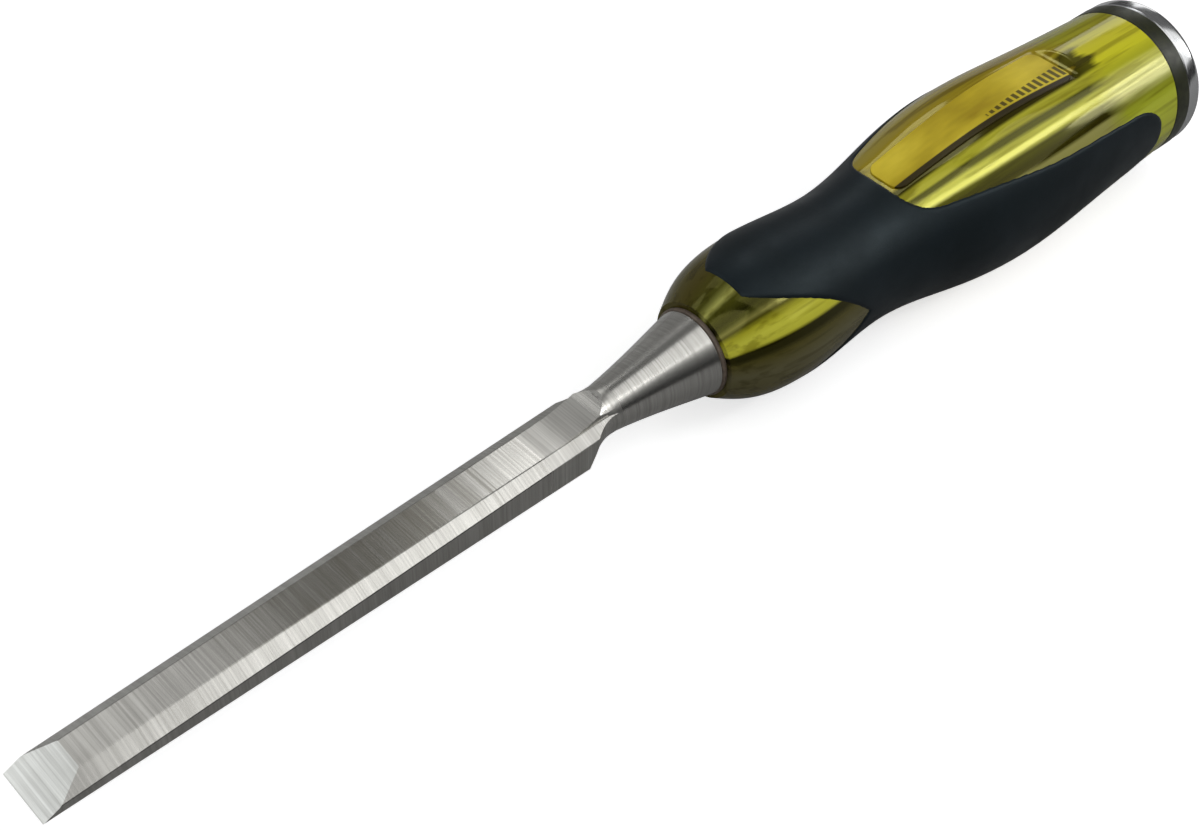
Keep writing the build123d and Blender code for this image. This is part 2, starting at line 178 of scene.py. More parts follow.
# ---- materials -----------------------------------------------------------------------------------
class Nodes:
    """Short helpers for one material's node tree."""

    def __init__(self, name):
        self.material = bpy.data.materials.new(name)
        self.material.use_nodes = True
        self.tree = self.material.node_tree
        self.shader = self.tree.nodes["Principled BSDF"]
        self.out = self.tree.nodes["Material Output"]

    def add(self, kind, **values):
        node = self.tree.nodes.new(kind)
        for key, value in values.items():
            setattr(node, key, value)
        return node

    def link(self, a, b):
        self.tree.links.new(a, b)

    def set(self, **values):
        """Uniform values, straight on the shader's own sockets."""
        for key, value in values.items():
            self.shader.inputs[key.replace("_", " ")].default_value = value

    def coords(self, scale=(1, 1, 1)):
        source = self.add("ShaderNodeTexCoord")
        mapping = self.add("ShaderNodeMapping")
        mapping.inputs["Scale"].default_value = scale
        self.link(source.outputs["Object"], mapping.inputs["Vector"])
        return mapping.outputs["Vector"]

    def noise(self, vector, scale, detail=3.0, rough=0.5):
        node = self.add("ShaderNodeTexNoise")
        node.inputs["Scale"].default_value = scale
        node.inputs["Detail"].default_value = detail
        node.inputs["Roughness"].default_value = rough
        self.link(vector, node.inputs["Vector"])
        return node.outputs["Fac"]

    def ramp(self, fac, stops):
        node = self.add("ShaderNodeValToRGB")
        elements = node.color_ramp.elements
        while len(elements) < len(stops):
            elements.new(0.5)
        for element, (position, color) in zip(elements, stops):
            element.position = position
            element.color = (*color, 1)
        self.link(fac, node.inputs["Fac"])
        return node.outputs["Color"]

    def range(self, value, lo, hi, to_lo, to_hi):
        """Value mapped from one span to another and held at its ends."""
        node = self.add("ShaderNodeMapRange")
        for key, number in zip(("From Min", "From Max", "To Min", "To Max"), (lo, hi, to_lo, to_hi)):
            node.inputs[key].default_value = number
        self.link(value, node.inputs["Value"])
        return node.outputs["Result"]

    def window(self, value, rise, fall, height=1.0):
        """Mask that climbs to a height over the span rise and drops again over the span fall."""
        up = self.range(value, *rise, 0.0, height)
        down = self.range(value, *fall, 1.0, 0.0)
        return self.math("MULTIPLY", up, down)

    def math(self, operation, a, b=None):
        node = self.add("ShaderNodeMath", operation=operation)
        for socket, value in zip(node.inputs, (a, b)):
            if value is None:
                continue
            if isinstance(value, (int, float)):
                socket.default_value = value
            else:
                self.link(value, socket)
        return node.outputs["Value"]

    def mix(self, fac, a, b, blend="MIX"):
        node = self.add("ShaderNodeMix", data_type="RGBA", blend_type=blend)
        for socket, value in zip((node.inputs[0], node.inputs[6], node.inputs[7]), (fac, a, b)):
            if isinstance(value, (int, float)):
                socket.default_value = value
            elif isinstance(value, tuple):
                socket.default_value = (*value, 1)
            else:
                self.link(value, socket)
        return node.outputs[2]

    def axes(self):
        """X, Y and Z of the surface, in metres."""
        source = self.add("ShaderNodeTexCoord")
        split = self.add("ShaderNodeSeparateXYZ")
        self.link(source.outputs["Object"], split.inputs["Vector"])
        return split.outputs

    def bump(self, height, strength, distance):
        """Normal bent by a height, the distance in metres."""
        node = self.add("ShaderNodeBump")
        node.inputs["Strength"].default_value = strength
        node.inputs["Distance"].default_value = distance
        self.link(height, node.inputs["Height"])
        return node.outputs["Normal"]

    def color(self, socket):
        self.link(socket, self.shader.inputs["Base Color"])

    def roughness(self, socket):
        self.link(socket, self.shader.inputs["Roughness"])

    def normal(self, socket):
        self.link(socket, self.shader.inputs["Normal"])


def ground_steel():
    """Blade steel: fine cross-wise grinding lines, slight mottling."""
    m = Nodes("blade_steel")
    m.set(Metallic=1.0)
    lines = m.noise(m.coords((2600, 40, 40)), 1.0, 2.0, 0.6)
    broad = m.noise(m.coords((420, 9, 9)), 1.0, 3.0, 0.6)
    cloud = m.noise(m.coords((60, 90, 90)), 1.0, 2.0, 0.5)
    tone = m.math("ADD", m.math("MULTIPLY", lines, 0.45), m.math("MULTIPLY", broad, 0.35))
    tone = m.math("ADD", tone, m.math("MULTIPLY", cloud, 0.2))
    color = m.ramp(tone, [(0.3, (0.42, 0.41, 0.38)), (0.7, (0.76, 0.75, 0.71))])
    # brownish mottled patch in the middle of the flat, duller metal on the sweep up to the neck
    axes = m.axes()
    along = m.math("SUBTRACT", axes["X"], TIP)
    along = m.math("ADD", along, m.range(broad, 0.3, 0.7, -0.006, 0.006))
    patch = m.window(along, (0.032, 0.048), (0.074, 0.092), 0.9)
    patch = m.math("MULTIPLY", patch, m.range(m.math("ABSOLUTE", axes["Y"]), 0.0033, 0.0036, 1.0, 0.0))
    patch = m.math("MULTIPLY", patch, m.range(tone, 0.35, 0.60, 0.9, 0.35))
    m.color(m.mix(patch, color, (0.20, 0.185, 0.14)))
    duller = m.window(along, (0.098, 0.104), (0.112, 0.118), 0.16)
    m.roughness(m.math("ADD", m.range(tone, 0.3, 0.7, 0.28, 0.18), duller))
    m.normal(m.bump(lines, 0.08, 0.00002))
    return m.material


def satin_steel(name, low, high, rough, turn_scale):
    """Turned steel with fine lines round the axis."""
    m = Nodes(name)
    m.set(Metallic=1.0)
    lines = m.noise(m.coords((turn_scale, 12, 12)), 1.0, 3.0, 0.6)
    cloud = m.noise(m.coords((150, 150, 150)), 1.0, 2.0, 0.5)
    tone = m.math("ADD", m.math("MULTIPLY", lines, 0.7), m.math("MULTIPLY", cloud, 0.3))
    m.color(m.ramp(tone, [(0.3, low), (0.7, high)]))
    m.roughness(m.range(tone, 0.3, 0.7, rough + 0.06, rough - 0.04))
    m.normal(m.bump(lines, 0.06, 0.00002))
    return m.material


def acetate():
    """Translucent yellow acetate, coloured in bands that run along the handle: painted highlights, painted
    reflections and painted shade.
    """
    m = Nodes("acetate_yellow")
    m.set(IOR=1.8, Specular_Tint=(1.0, 0.95, 0.28, 1), Transmission_Weight=0.25)
    axes = m.axes()
    flow = m.noise(m.coords((9, 60, 60)), 1.0, 2.0, 0.5)
    fine = m.noise(m.coords((14, 520, 520)), 1.0, 3.0, 0.55)
    # angle round the handle from the top, the same on the bottom half a turn on
    height = m.math("SUBTRACT", axes["Z"], AXIS_Z)
    angle = m.math("ARCTAN2", m.math("MULTIPLY", axes["Y"], -1.0), height)
    angle = m.math("ADD", angle, m.range(flow, 0.3, 0.7, -0.035, 0.035))
    turn = m.math("FRACT", m.math("ADD", m.math("DIVIDE", angle, math.pi), 0.5))

    def bands(stops):
        """Colours by degrees from the top of the handle."""
        return m.ramp(turn, [((degrees + 90) / 180, color) for degrees, color in stops])

    # painted light on the nose: bright bands are painted highlights and reflections, dark bands are painted
    # shade and dark refractions
    nose = bands([
        (-90, (0.17, 0.155, 0.08)), (-60, (0.14, 0.12, 0.03)), (-20, (0.10, 0.08, 0.015)),
        (2, (0.10, 0.10, 0.012)), (7, (0.28, 0.28, 0.06)), (12, (0.62, 0.62, 0.16)),
        (17, (0.10, 0.10, 0.01)), (29, (0.012, 0.012, 0.0)), (34, (0.08, 0.08, 0.01)),
        (38, (0.34, 0.32, 0.08)), (41, (0.08, 0.07, 0.003)), (46, (0.62, 0.59, 0.04)),
        (53, (0.95, 0.93, 0.10)), (61, (0.85, 0.82, 0.08)), (63.5, (0.012, 0.010, 0.0)),
        (69, (0.012, 0.010, 0.0)), (74, (0.10, 0.085, 0.02)), (90, (0.17, 0.155, 0.08)),
    ])
    # painted light along the middle: the bright bands are painted highlights, the dark lines are painted
    # shade
    middle = bands([
        (-90, (0.36, 0.32, 0.03)), (-50, (0.58, 0.47, 0.04)), (-20, (0.50, 0.37, 0.02)),
        (13, (0.46, 0.34, 0.02)), (16, (0.05, 0.04, 0.002)), (20, (0.06, 0.05, 0.002)),
        (22, (0.72, 0.69, 0.06)), (27, (0.72, 0.69, 0.05)), (28.5, (0.06, 0.06, 0.0)),
        (31.5, (0.07, 0.07, 0.0)), (34, (0.95, 0.95, 0.12)), (39.5, (0.95, 0.95, 0.14)),
        (42, (0.12, 0.12, 0.003)), (48, (0.05, 0.045, 0.002)), (51.5, (0.07, 0.06, 0.003)),
        (53.5, (0.55, 0.52, 0.16)), (90, (0.40, 0.37, 0.03)),
    ])
    # painted light on the butt: the near-white band from 38 to 47 degrees is a painted highlight
    butt = bands([
        (-90, (0.70, 0.75, 0.04)), (-35, (0.44, 0.44, 0.03)), (-10, (0.60, 0.56, 0.03)),
        (4, (1.0, 0.92, 0.05)), (20, (0.95, 0.92, 0.04)), (27, (0.70, 0.70, 0.03)),
        (33, (0.95, 0.95, 0.14)), (38, (1.0, 1.0, 0.36)), (47, (1.0, 1.0, 0.36)),
        (53, (0.50, 0.53, 0.04)), (62, (0.70, 0.78, 0.05)), (90, (0.70, 0.75, 0.04)),
    ])
    along = m.math("SUBTRACT", axes["X"], TIP)
    along = m.math("ADD", along, m.range(fine, 0.3, 0.7, -0.002, 0.002))
    color = m.mix(m.range(along, 0.172, 0.180, 0.0, 1.0), nose, middle)
    color = m.mix(m.range(along, 0.240, 0.247, 0.0, 1.0), color, butt)
    # darker patch where the flat runs out behind the inlay
    patch = m.window(along, (0.2392, 0.2405), (0.2450, 0.2475))
    patch = m.math("MULTIPLY", patch, m.window(turn, (0.47, 0.49), (0.605, 0.62), 0.9))
    color = m.mix(patch, color, (0.06, 0.055, 0.003))
    # painted brown shade between the front of the window and the inlay, darkening the acetate next to the
    # rubber
    shade = m.window(along, (0.180, 0.182), (0.1872, 0.1892))
    shade = m.math("MULTIPLY", shade, m.range(turn, 0.575, 0.59, 0.8, 0.0))
    color = m.mix(shade, color, (0.16, 0.105, 0.008))
    streak = m.ramp(fine, [(0.36, (0.55, 0.52, 0.40)), (0.50, (1.0, 1.0, 1.0))])
    m.color(m.mix(0.8, color, streak, "MULTIPLY"))
    m.roughness(m.range(fine, 0.3, 0.7, 0.05, 0.13))
    # less shine on the nose, in the two dark lines and on the far side
    dull = m.window(turn, (0.572, 0.580), (0.610, 0.618))
    lower = m.window(turn, (0.728, 0.738), (0.780, 0.792), 0.9)
    dull = m.math("MAXIMUM", m.math("MAXIMUM", dull, lower), m.range(turn, 0.44, 0.47, 0.6, 0.0))
    shine = m.math("MULTIPLY", m.range(along, 0.150, 0.185, 0.16, 0.5), m.range(dull, 0.0, 1.0, 1.0, 0.15))
    m.link(shine, m.shader.inputs["Specular IOR Level"])
    m.normal(m.bump(fine, 0.10, 0.00008))
    absorb = m.add("ShaderNodeVolumeAbsorption")
    absorb.inputs["Color"].default_value = (0.90, 0.88, 0.10, 1)
    absorb.inputs["Density"].default_value = 30.0
    m.link(absorb.outputs["Volume"], m.out.inputs["Volume"])
    return m.material


def soft_rubber():
    """Matt blue-black overmould with a fine moulded grain and lighter rubbed patches."""
    m = Nodes("grip_black")
    grain = m.noise(m.coords(), 2600.0, 3.0, 0.6)
    rub = m.noise(m.coords(), 90.0, 3.0, 0.5)
    m.color(m.ramp(rub, [(0.35, (0.004, 0.007, 0.009)), (0.7, (0.009, 0.014, 0.018))]))
    m.roughness(m.range(rub, 0.3, 0.7, 0.52, 0.36))
    m.normal(m.bump(grain, 0.35, 0.00006))
    m.set(Specular_IOR_Level=0.32, Specular_Tint=(0.75, 0.93, 1.0, 1))
    return m.material


def amber_inlay():
    """Golden inlay with a dark line and a row of plain ticks along one long edge."""
    m = Nodes("label_amber")
    axes = m.axes()
    glow = m.noise(m.coords((45, 160, 160)), 1.0, 3.0, 0.5)
    golds = [(0.32, (0.40, 0.28, 0.007)), (0.5, (0.62, 0.47, 0.017)), (0.68, (0.80, 0.63, 0.035))]
    body = m.ramp(glow, golds)
    # distance of a point from the long edge, which spreads slightly towards the butt
    front_x = TIP + LABEL_FRONT * MM
    along = m.math("SUBTRACT", axes["X"], front_x)
    half = m.math("ADD", m.math("MULTIPLY", along, LABEL_SPREAD), LABEL_HALF_FRONT * MM)
    inward = m.math("ADD", half, axes["Y"])
    line = m.range(inward, 0.00115, 0.00135, 1.0, 0.0)
    # the ticks begin halfway along the inlay and grow taller towards the butt
    first_tick, tick_spacing = front_x + 0.026, 0.0009
    ticks = m.math("PINGPONG", along, tick_spacing)
    ticks = m.range(ticks, 0.00034, 0.00044, 0.0, 0.85)
    tall = m.math("SUBTRACT", inward, m.range(axes["X"], first_tick, front_x + 0.050, 0.0, 0.0026))
    above = m.range(inward, 0.0017, 0.0018, 0.0, 1.0)
    row = m.math("MULTIPLY", above, m.range(tall, 0.0024, 0.0025, 1.0, 0.0))
    rear = m.range(axes["X"], first_tick, front_x + 0.0265, 0.0, 1.0)
    marks = m.math("MULTIPLY", m.math("MULTIPLY", ticks, row), rear)
    m.color(m.mix(m.math("MAXIMUM", line, marks), body, (0.020, 0.013, 0.002)))
    m.set(Specular_IOR_Level=0.3, Specular_Tint=(1.0, 0.85, 0.35, 1))
    m.roughness(m.range(glow, 0.3, 0.7, 0.45, 0.32))
    m.normal(m.bump(glow, 0.06, 0.00004))
    return m.material


def plain_ring(name, low, high, rough):
    """Slightly mottled material for the washers."""
    m = Nodes(name)
    cloud = m.noise(m.coords(), 600.0, 4.0, 0.6)
    m.color(m.ramp(cloud, [(0.3, low), (0.7, high)]))
    m.roughness(m.range(cloud, 0.3, 0.7, rough + 0.08, rough - 0.06))
    m.normal(m.bump(cloud, 0.2, 0.00004))
    return m.material


STEEL = ground_steel()
TANG_STEEL = satin_steel("bolster_steel", (0.56, 0.55, 0.52), (0.76, 0.75, 0.72), 0.17, 900)
CAP_STEEL = satin_steel("cap_steel", (0.70, 0.71, 0.71), (0.86, 0.87, 0.88), 0.16, 1400)
ACETATE = acetate()
RUBBER = soft_rubber()
AMBER = amber_inlay()
TAN_RING = plain_ring("washer_tan", (0.10, 0.075, 0.055), (0.20, 0.155, 0.12), 0.5)
DARK_RING = plain_ring("washer_black", (0.012, 0.014, 0.004), (0.032, 0.036, 0.010), 0.35)


# ---- blade: ground bar, turned shoulder and cone -------------------------------------------------
HALF_WIDTH = 6.0
CORNER_RADIUS = math.hypot(HALF_WIDTH, BACK_TO_AXIS)
SHOULDER = 110.0
TIP_THICKNESS, SHOULDER_THICKNESS = 3.5, 7.3
TIP_SIDE, SHOULDER_SIDE = 1.4, 6.0
TIP_RUN, SHOULDER_RUN = 2.9, 2.3
BEVEL_ANGLE, EDGE_LAND = math.radians(23.5), 0.05
BEVEL_ZONE = 14.0                                   # the cutting bevel lies in front of this station
BAR_END = 120.3                                     # the flat bar ends inside the cone
NECK, NECK_RADIUS = 116.5, 4.65
HOLLOW = ((SHOULDER - 0.8, CORNER_RADIUS), (SHOULDER + 2.2, NECK_RADIUS + 0.95), (NECK, NECK_RADIUS))
RAMP_START, RAMP_END, RAMP_RISE = 104.5, 116.8, 0.1
CONE = [
    (115.6, 4.36), (117.3, 4.62), (119.0, 4.85), (122.0, 5.30), (126.0, 5.98), (130.0, 6.75),
    (134.3, 7.63), (138.85, 8.57),
]
EDGE_BREAK = 0.12                                        # broken edges


def section(station):
    """Blade section as (y, z from the back) corners, each edge broken by a small flat."""
    t = station / SHOULDER
    thick = TIP_THICKNESS + (SHOULDER_THICKNESS - TIP_THICKNESS) * t
    side = TIP_SIDE + (SHOULDER_SIDE - TIP_SIDE) * t
    run = TIP_RUN + (SHOULDER_RUN - TIP_RUN) * t
    corners = [
        (-HALF_WIDTH, 0), (HALF_WIDTH, 0), (HALF_WIDTH, side),
        (HALF_WIDTH - run, thick), (run - HALF_WIDTH, thick), (-HALF_WIDTH, side),
    ]
    out = []
    for i, corner in enumerate(corners):
        here = np.array(corner, float)
        before = np.array(corners[i - 1], float) - here
        after = np.array(corners[(i + 1) % len(corners)], float) - here
        out.append(here + before / np.linalg.norm(before) * EDGE_BREAK)
        out.append(here + after / np.linalg.norm(after) * EDGE_BREAK)
    return out


def ground_bar():
    """Bevel-edged bar with the cutting bevel ground on its front."""
    stations = [0.0] + list(np.linspace(BEVEL_ZONE, BAR_END, 12))
    rings = [[placed(s, y, z - BACK_TO_AXIS) for y, z in section(s)] for s in stations]
    n = len(rings[0])
    faces = tube_faces(len(rings), n)
    faces += [tuple(range(n)), tuple((len(rings) - 1) * n + k for k in range(n))]
    bar = mesh_object("blade_skin", [p for ring in rings for p in ring], faces, STEEL, 10)
    bm = bmesh.new()
    bm.from_mesh(bar.data)
    start = Vector((TIP, 0, BACK_Z + EDGE_LAND * MM))
    away = Vector((-math.sin(BEVEL_ANGLE), 0, math.cos(BEVEL_ANGLE)))
    zone_end = TIP + BEVEL_ZONE * MM
    front = [f for f in bm.faces if f.calc_center_median().x < zone_end]
    geom = front + list({e for f in front for e in f.edges}) + list({v for f in front for v in f.verts})
    bmesh.ops.bisect_plane(bm, geom=geom, plane_co=start, plane_no=away, dist=1e-8)
    above = [
        f for f in bm.faces
        if f.calc_center_median().x < zone_end and (f.calc_center_median() - start).dot(away) > 1e-7
    ]
    bmesh.ops.delete(bm, geom=above, context="FACES")
    bmesh.ops.contextual_create(bm, geom=[e for e in bm.edges if len(e.link_faces) == 1])
    bmesh.ops.recalc_face_normals(bm, faces=bm.faces)
    bm.to_mesh(bar.data)
    bm.free()
    return bar


def combine(target, other, operation):
    """Exact boolean of two pieces; the second one is used up."""
    change = target.modifiers.new("combine", "BOOLEAN")
    change.operation, change.object, change.solver = operation, other, "EXACT"
    bpy.context.view_layer.update()
    evaluated = target.evaluated_get(bpy.context.evaluated_depsgraph_get())
    result = bpy.data.meshes.new_from_object(evaluated)
    target.modifiers.clear()
    target.data = result
    bpy.data.objects.remove(other)


def ramp():
    """Sweep from the top face up to the round neck."""
    slope = (SHOULDER_THICKNESS - TIP_THICKNESS) / SHOULDER
    low = TIP_THICKNESS + slope * RAMP_START - BACK_TO_AXIS
    high = NECK_RADIUS + RAMP_RISE
    run = RAMP_END - RAMP_START
    bend = (high - low - slope * run) / run**2
    side = [(RAMP_START, 0.0)]
    for d in np.linspace(0, run, 25):
        side.append((RAMP_START + d, low + slope * d + bend * d * d))
    side += [(BAR_END, high), (BAR_END, 0.0)]
    half = HALF_WIDTH - SHOULDER_RUN - RAMP_RISE
    n = len(side)
    points = [placed(s, y, z) for y in (-half, half) for s, z in side]
    faces = [tuple(range(n)), tuple(range(n, 2 * n))] + tube_faces(2, n)
    return mesh_object("ramp", points, faces, STEEL, 10)


def turned_shoulder():
    """Solid of revolution that bounds the end of the flat blade."""
    cx, cy, radius = circle_through(*HOLLOW)
    (first_s, first_r), (last_s, last_r) = HOLLOW[0], HOLLOW[-1]
    begin = math.atan2(first_r - cy, first_s - cx) % (2 * math.pi)
    turn = math.atan2(last_r - cy, last_s - cx) % (2 * math.pi) - begin
    clear = CORNER_RADIUS + 3.0
    profile = [(-4.0, 0.0), (-4.0, clear), (SHOULDER - 2.6, clear)]
    for k in np.linspace(0, 1, 25):
        profile.append((cx + radius * math.cos(begin + turn * k), cy + radius * math.sin(begin + turn * k)))
    profile += [(121.0, NECK_RADIUS), (121.0, 0.0)]
    return lathe("shoulder_limit", profile, STEEL, 160, 10)


def cone():
    """Cone from the neck to the bolster, with a broken rear edge."""
    flank = spline(CONE)
    front, rear = CONE[0][0], CONE[-1][0]
    profile = [(front, 0.0)] + [(s, float(flank(s))) for s in np.linspace(front, rear, 40)]
    profile += [(138.95, 8.55), (BOLSTER, 8.46), (BOLSTER, 0.0)]
    return lathe("cone", profile, STEEL, 160, 30)


blade = ground_bar()
combine(blade, ramp(), "UNION")
combine(blade, turned_shoulder(), "INTERSECT")
combine(blade, cone(), "UNION")
blade.data.shade_smooth()
blade.data.set_sharp_from_angle(angle=math.radians(13))

# ---- tang, washers and cap -----------------------------------------------------------------------
RING_THICKNESS, RING_ROUND, RING_BORE = 4.4, 0.4, 3.3
CAP_THICKNESS, CAP_CROWN, CAP_ROUND = 4.2, 0.8, 1.6
CAP_BORE, CAP_LAND = 3.25, 5.5                      # radii of the hole and of the flat struck land
CAP_FRONT = BUTT + RING_THICKNESS
CAP_FACE = CAP_FRONT + CAP_THICKNESS
END = CAP_FACE + CAP_CROWN
TANG_HALF, TANG_CORNER = 3.5, 0.8
TENON_RADIUS = 3.2
WASHER_BORE, WASHER_RADIUS, WASHER_ROUND = 5.0, 8.6, 0.3


def square_tang():
    """Square tang inside the handle, faintly seen through the acetate."""
    outline = []
    flat = TANG_HALF - TANG_CORNER
    for cx, cz, start in ((1, 1, 0), (-1, 1, 90), (-1, -1, 180), (1, -1, 270)):
        outline += arc(cx * flat, cz * flat, TANG_CORNER, start, start + 90, 4)
    n = len(outline)
    points = [placed(s, y, z) for s in (BOLSTER, BUTT) for y, z in outline]
    faces = tube_faces(2, n) + [tuple(range(n)), tuple(n + k for k in range(n))]
    return mesh_object("tang", points, faces, TANG_STEEL)


def washer(name, front, rear, bore, rim, edge, material, n=128):
    """Ring with both corners of its rim rounded."""
    profile = [(front, bore), (front, rim)]
    profile += arc(front + edge, rim, edge, 180, 90) + arc(rear - edge, rim, edge, 90, 0)
    return lathe(name, profile + [(rear, bore)], material, n)


def cap_shell():
    """Crowned cap with a rounded rim, dished round the end of the tang."""
    profile = [(CAP_FRONT, CAP_BORE), (CAP_FRONT, BUTT_RADIUS - 0.45)]
    profile += arc(CAP_FRONT + 0.4, BUTT_RADIUS - 0.4, 0.4, 180, 90, 5)
    profile += arc(CAP_FACE - CAP_ROUND, BUTT_RADIUS - CAP_ROUND, CAP_ROUND, 90, 0, 12)
    crown_from = BUTT_RADIUS - CAP_ROUND
    for k in range(1, 11):
        rise = CAP_CROWN * math.sin(math.pi / 2 * k / 10)
        profile.append((CAP_FACE + rise, crown_from - (crown_from - CAP_LAND) * k / 10))
    profile += [(END, 3.6), (END - 0.15, 3.4), (END - 0.5, CAP_BORE)]
    return lathe("cap_shell", profile, CAP_STEEL, 160)


tang = square_tang()
tenon_profile = [
    (BUTT, 0.0), (BUTT, TENON_RADIUS), (END - 0.4, TENON_RADIUS), (END - 0.15, 3.1), (END, 2.8),
    (END, 1.5), (END, 0.0),
]
tenon = lathe("tang_end", tenon_profile, CAP_STEEL)
bolster_ring = washer(
    "bolster_ring", BOLSTER, HANDLE_FRONT, WASHER_BORE, WASHER_RADIUS, WASHER_ROUND, TAN_RING,
)
cap_ring = washer("cap_ring", BUTT, CAP_FRONT, RING_BORE, BUTT_RADIUS - 0.3, RING_ROUND, DARK_RING, 160)
cap = cap_shell()


# ---- acetate handle ------------------------------------------------------------------------------
def flat_at(station):
    """Height of the worked flat at a station, with its two ends."""
    (first, first_height), (last, last_height) = FLAT[0], FLAT[-1]
    if station < first:
        fall = (FACET_FRONT_HEIGHT - first_height) / (first - FACET_FRONT)
        return first_height + (first - station) * fall
    if station <= last:
        return float(flat_height(station))
    return last_height + FACET_REAR_RISE * ((station - last) / (FACET_REAR - last)) ** 2


def core_point(s, t):
    """(y, z) from the axis on the acetate skin, with the worked flats on top and bottom."""
    r = float(core_radius(s))
    y, z = r * math.sin(t), r * math.cos(t)
    if FACET_FRONT < s < FACET_REAR:
        top = flat_at(s)
        over = abs(z) - top
        if over >= FACET_SOFT:
            z = math.copysign(top, z)
        elif over > -FACET_SOFT:
            z = math.copysign(top - (FACET_SOFT - over) ** 2 / (4 * FACET_SOFT), z)
    return y, z


def acetate_skin():
    """Handle with a round bore for the tang; its rings are closest where the flats begin and end."""
    stations = [140.0, 140.1, 140.35, 140.7] + list(np.arange(141.2, 183, 0.8))
    stations += list(np.arange(183, 188, 0.35)) + list(np.arange(188, 239.4, 1.0))
    stations += list(np.arange(239.5, 244.5, 0.3)) + list(np.arange(245, 263, 0.8)) + [263.2, 263.5, 263.6]
    n = 240
    angles = [2 * math.pi * k / n for k in range(n)]
    points = [placed(s, *core_point(s, t)) for s in stations for t in angles]
    bore = (BUTT, (HANDLE_FRONT + BUTT) / 2, HANDLE_FRONT)
    points += [on_ring(s, CORE_BORE, t) for s in bore for t in angles]
    faces = tube_faces(len(stations) + len(bore), n, closed=True)
    return mesh_object("acetate_handle", points, faces, ACETATE, 35)


handle = acetate_skin()


# ---- soft grip: a shell over the handle, open at the notches and windows -------------------------
NOTCH_TIP = 172.0
NOTCH = circle_through((145.3, 12.5), (160.0, 8.8), (NOTCH_TIP, 0.0))
WINDOW_FRONT, HANDOVER = 187.2, 198.0               # window nose, and where its long side takes over
WINDOW_NOSE = [(WINDOW_FRONT, 0.0), (WINDOW_FRONT, 9.0), (192.3, 10.39), (HANDOVER, 11.64)]
STRIP_CORNER, STRIP_CORNER_HEIGHT = 248.0, 7.9      # where the side strip starts to round off
strip_edge = spline([
    (HANDOVER, 11.55), (207.4, 11.6), (222.0, 10.4), (237.0, 9.0), (STRIP_CORNER, STRIP_CORNER_HEIGHT),
])


def bezier(points, t):
    """Point at t on a cubic Bezier curve."""
    weights = ((1 - t) ** 3, 3 * t * (1 - t) ** 2, 3 * t**2 * (1 - t), t**3)
    return [sum(w * p[axis] for w, p in zip(weights, points)) for axis in (0, 1)]


def from_height(s, z):
    """Point of an edge (station, arc length from the top) from its height above the axis."""
    r = float(core_radius(s))
    return s, math.acos(max(-1.0, min(1.0, z / r))) * r


def boundary_curves():
    """The grip's front and rear edges in one quarter, as points (station, arc length from the top)."""
    front = []
    for s in np.linspace(GRIP_FRONT, NOTCH_TIP, 90):
        z = NOTCH[1] + math.sqrt(max(0.0, NOTCH[2] ** 2 - (s - NOTCH[0]) ** 2))
        front.append(from_height(s, z))
    front = [(GRIP_FRONT, a) for a in np.linspace(0, front[0][1], 20)[:-1]] + front
    rear = []
    for k in range(40):
        s, y = bezier(WINDOW_NOSE, k / 39)
        r = float(core_radius(s))
        rear.append((s, math.asin(min(1.0, y / r)) * r))
    for s in np.linspace(HANDOVER + 0.6, STRIP_CORNER, 90):
        rear.append(from_height(s, float(strip_edge(s))))
    for k in range(1, 30):
        u = math.pi / 2 * k / 29
        s = STRIP_CORNER + (GRIP_REAR - STRIP_CORNER) * math.sin(u)
        rear.append(from_height(s, STRIP_CORNER_HEIGHT * math.cos(u) ** 0.8))
    return np.array(front), np.array(rear)


def distance_to(curve, px, py):
    """Distance from points to a polyline."""
    best = np.full(px.shape, 1e9)
    for (ax, ay), (bx, by) in zip(curve[:-1], curve[1:]):
        dx, dy = bx - ax, by - ay
        length = dx * dx + dy * dy
        if length < 1e-12:
            continue
        t = np.clip(((px - ax) * dx + (py - ay) * dy) / length, 0, 1)
        best = np.minimum(best, np.hypot(px - ax - t * dx, py - ay - t * dy))
    return best


